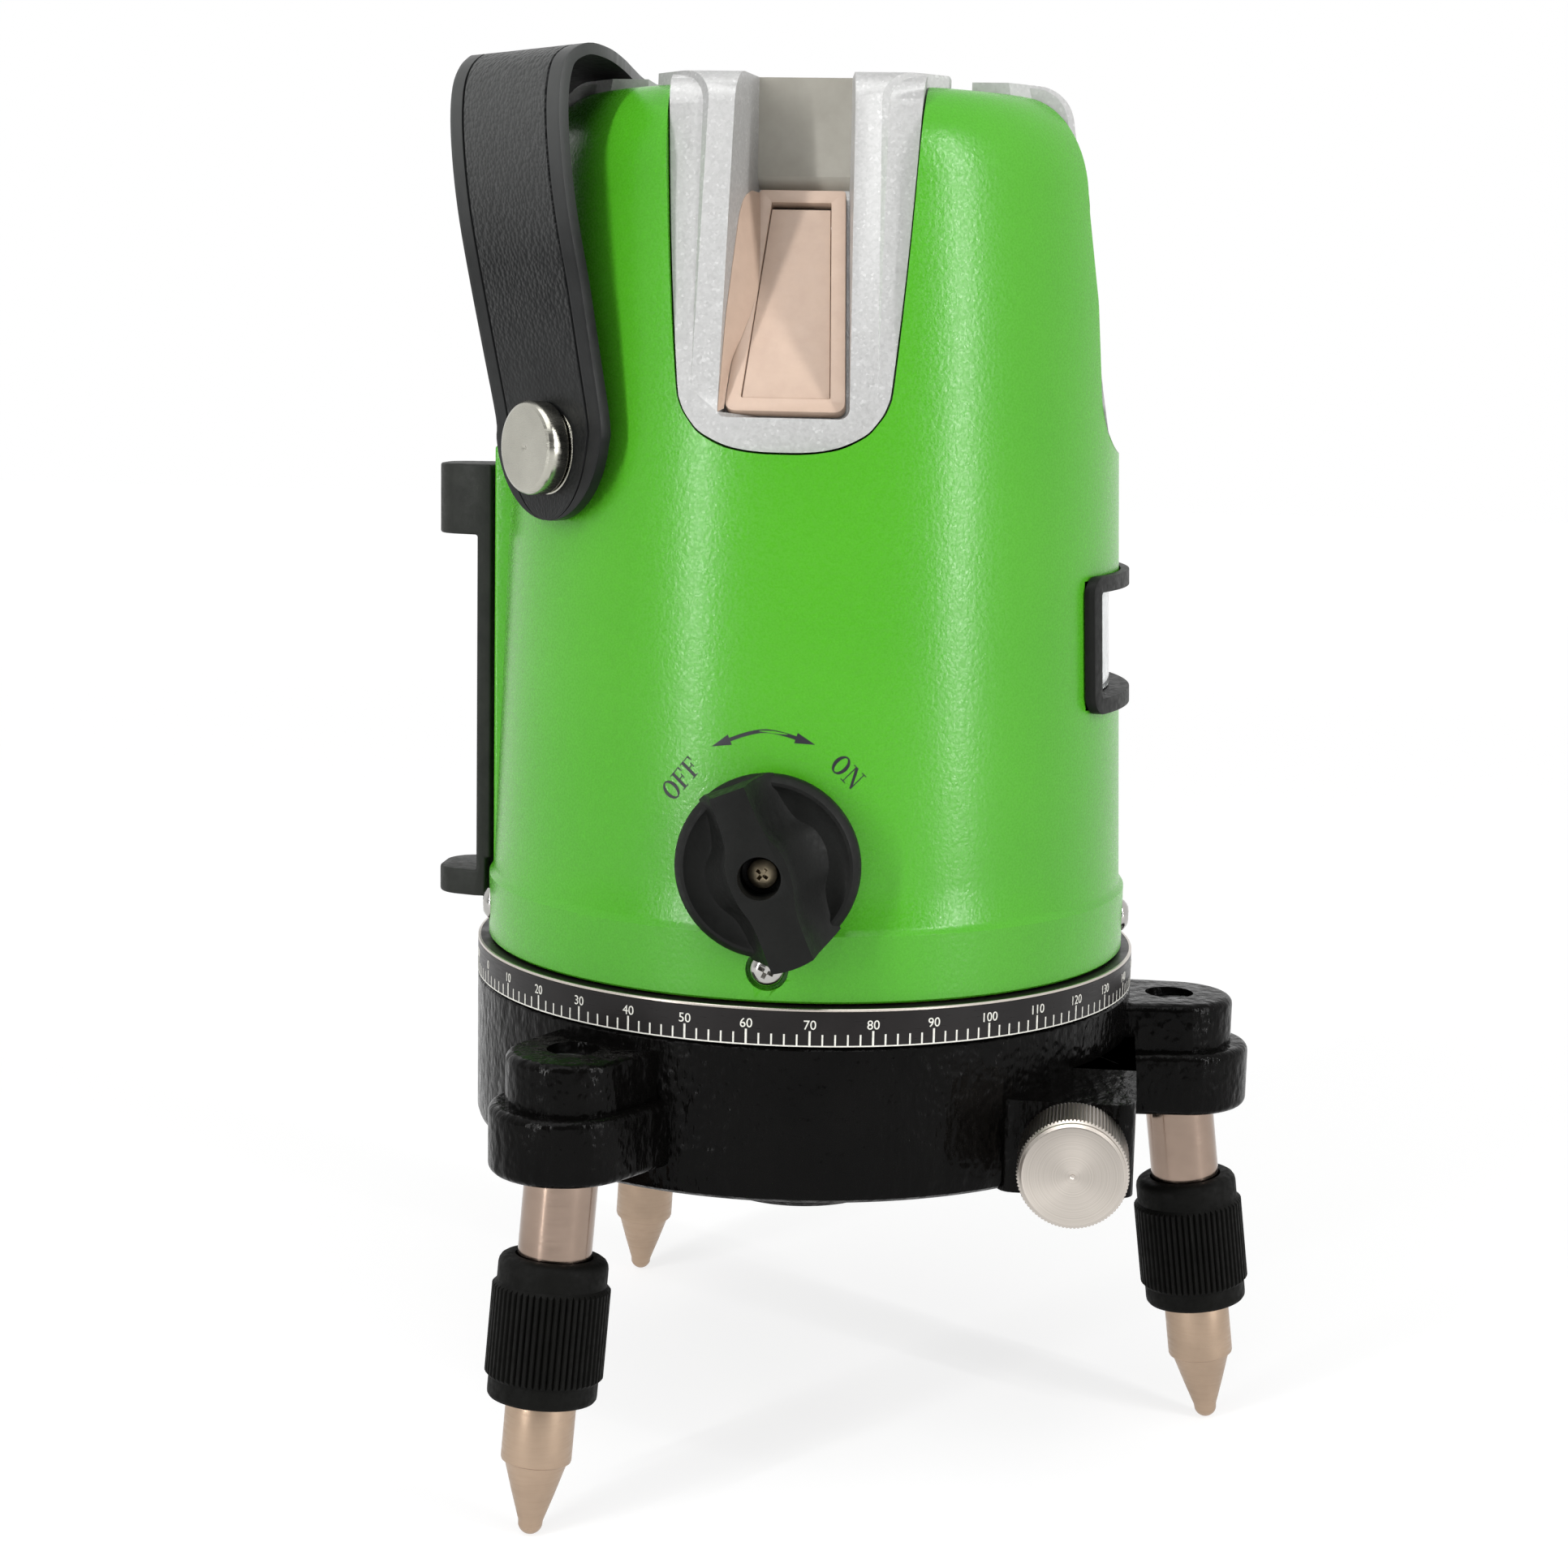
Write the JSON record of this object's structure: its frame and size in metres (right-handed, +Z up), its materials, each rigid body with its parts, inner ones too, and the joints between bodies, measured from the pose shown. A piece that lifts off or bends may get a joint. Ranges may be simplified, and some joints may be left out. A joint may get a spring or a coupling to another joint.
{
  "type": "laser level on tripod base",
  "caption": "Self-levelling line laser with a round head, sloping line windows, a carrying strap and a power knob, turning on a dialled base with three levelling legs.",
  "frame": {"origin": "middle of the outline seen from above, on the plane the foot tips stand on", "axes": "+Z up along the turning axis, the power knob faces -Y, the bubble window faces +X, the battery bracket faces -X"},
  "size_m": [0.1396, 0.1358, 0.2238],
  "materials": {
    "green_paint": "gloss",
    "silver_plastic": "satin",
    "tan_window": "satin",
    "black_plastic": "satin",
    "black_paint": "gloss",
    "black_rubber": "matte",
    "leather": "satin",
    "nickel": "polished",
    "aluminium": "brushed",
    "brass": "satin",
    "steel": "satin",
    "zinc": "cast",
    "clear_glass": "polished",
    "yellow_glass": "polished",
    "circuit_green": "satin",
    "dial_black": "satin"
  },
  "bodies": {
    "base": {"base_casting": "black_paint", "dial_ring": "dial_black", "pivot_bolt": "steel", "tripod_insert": "brass", "leg_shaft_1": "nickel", "leg_shaft_2": "nickel", "leg_shaft_3": "nickel", "lug_screw_1": "steel", "lug_screw_2": "steel", "lug_screw_3": "steel"},
    "turntable": {"turntable": "brass"},
    "head": {"head_shell": "green_paint", "head_chassis": "zinc", "circuit_board": "circuit_green", "top_panel": "black_plastic", "battery_bracket": "black_plastic", "window_housing_front": "silver_plastic", "window_housing_right": "silver_plastic", "window_housing_rear": "silver_plastic", "window_housing_left": "silver_plastic", "window_frame_front": "tan_window", "window_frame_right": "tan_window", "window_frame_rear": "tan_window", "window_frame_left": "tan_window", "window_pane_front": "tan_window", "window_pane_right": "tan_window", "window_pane_rear": "tan_window", "window_pane_left": "tan_window", "shell_screw_front": "steel", "shell_screw_right": "steel", "shell_screw_rear": "steel", "shell_screw_left": "steel", "carry_strap": "leather", "strap_stud_front": "nickel", "strap_stud_rear": "nickel", "strap_washer_front": "nickel", "strap_washer_rear": "nickel", "side_window_frame": "black_plastic", "side_window_glass": "clear_glass", "circular_vial": "yellow_glass"},
    "fine_drive": {"worm_shaft": "steel", "fine_knob": "aluminium"},
    "switch": {"power_knob": "black_plastic", "knob_screw": "brass", "lock_cam": "zinc"},
    "first_button": {"button_1": "black_rubber"},
    "second_button": {"button_2": "black_rubber"},
    "third_button": {"button_3": "black_rubber"},
    "gimbal": {"gimbal_ring": "brass"},
    "pendulum": {"pendulum": "zinc", "laser_module_front": "brass", "laser_module_right": "brass", "laser_module_rear": "brass", "laser_module_left": "brass"},
    "sleeve_1": {"levelling_sleeve_1": "black_rubber"},
    "sleeve_2": {"levelling_sleeve_2": "black_rubber"},
    "sleeve_3": {"levelling_sleeve_3": "black_rubber"},
    "foot_1": {"foot_1": "nickel"},
    "foot_2": {"foot_2": "nickel"},
    "foot_3": {"foot_3": "nickel"}
  },
  "joints": [
    {"name": "turntable_turn", "type": "hinge", "parent": "base", "child": "turntable", "pos_m": [-0.00748, 0.0011, 0.07], "axis": [0, 0, 1], "continuous": true},
    {"name": "head_turn", "type": "hinge", "parent": "turntable", "child": "head", "pos_m": [-0.00748, 0.0011, 0.0828], "axis": [0, 0, 1], "continuous": true},
    {"name": "fine_turn", "type": "hinge", "parent": "base", "child": "fine_drive", "pos_m": [0.03922, -0.0479, 0.0587], "axis": [0, 1, 0], "continuous": true},
    {"name": "power_turn", "type": "hinge", "parent": "head", "child": "switch", "pos_m": [-0.00748, -0.0526, 0.1037], "axis": [0, 1, 0], "range_deg": [0, 90]},
    {"name": "press_1", "type": "slide", "parent": "head", "child": "first_button", "axis": [0, 0, -1], "range_m": [0, 0.0008], "stiffness_N_per_m": 1000, "springref_m": -0.0003},
    {"name": "press_2", "type": "slide", "parent": "head", "child": "second_button", "axis": [0, 0, -1], "range_m": [0, 0.0008], "stiffness_N_per_m": 1000, "springref_m": -0.0003},
    {"name": "press_3", "type": "slide", "parent": "head", "child": "third_button", "axis": [0, 0, -1], "range_m": [0, 0.0008], "stiffness_N_per_m": 1000, "springref_m": -0.0003},
    {"name": "gimbal_tilt", "type": "hinge", "parent": "head", "child": "gimbal", "pos_m": [-0.00748, 0.0011, 0.1595], "axis": [1, 0, 0], "range_deg": [-3, 3]},
    {"name": "pendulum_tilt", "type": "hinge", "parent": "gimbal", "child": "pendulum", "pos_m": [-0.00748, 0.0011, 0.1595], "axis": [0, 1, 0], "range_deg": [-3, 3]},
    {"name": "foot_slide_1", "type": "slide", "parent": "base", "child": "foot_1", "axis": [-0.127, -0.0041, 0.9919], "range_m": [-0.006, 0.004]},
    {"name": "foot_slide_2", "type": "slide", "parent": "base", "child": "foot_2", "axis": [0.0671, -0.1079, 0.9919], "range_m": [-0.006, 0.004]},
    {"name": "foot_slide_3", "type": "slide", "parent": "base", "child": "foot_3", "axis": [0.0599, 0.112, 0.9919], "range_m": [-0.006, 0.004]},
    {"name": "sleeve_turn_1", "type": "hinge", "parent": "foot_1", "child": "sleeve_1", "pos_m": [0.05689, 0.00318, 0.053], "axis": [-0.127, -0.0041, 0.9919], "range_deg": [-1441, 961]},
    {"name": "sleeve_turn_2", "type": "hinge", "parent": "foot_2", "child": "sleeve_2", "pos_m": [-0.04146, 0.0558, 0.053], "axis": [0.0671, -0.1079, 0.9919], "range_deg": [-1441, 961]},
    {"name": "sleeve_turn_3", "type": "hinge", "parent": "foot_3", "child": "sleeve_3", "pos_m": [-0.03786, -0.05568, 0.053], "axis": [0.0599, 0.112, 0.9919], "range_deg": [-1441, 961]}
  ],
  "couplings": [
    {"joint": "fine_turn", "follows": "turntable_turn", "ratio": -72},
    {"joint": "sleeve_turn_1", "follows": "foot_slide_1", "rad_per_m": 4188.8},
    {"joint": "sleeve_turn_2", "follows": "foot_slide_2", "rad_per_m": 4188.8},
    {"joint": "sleeve_turn_3", "follows": "foot_slide_3", "rad_per_m": 4188.8}
  ]
}
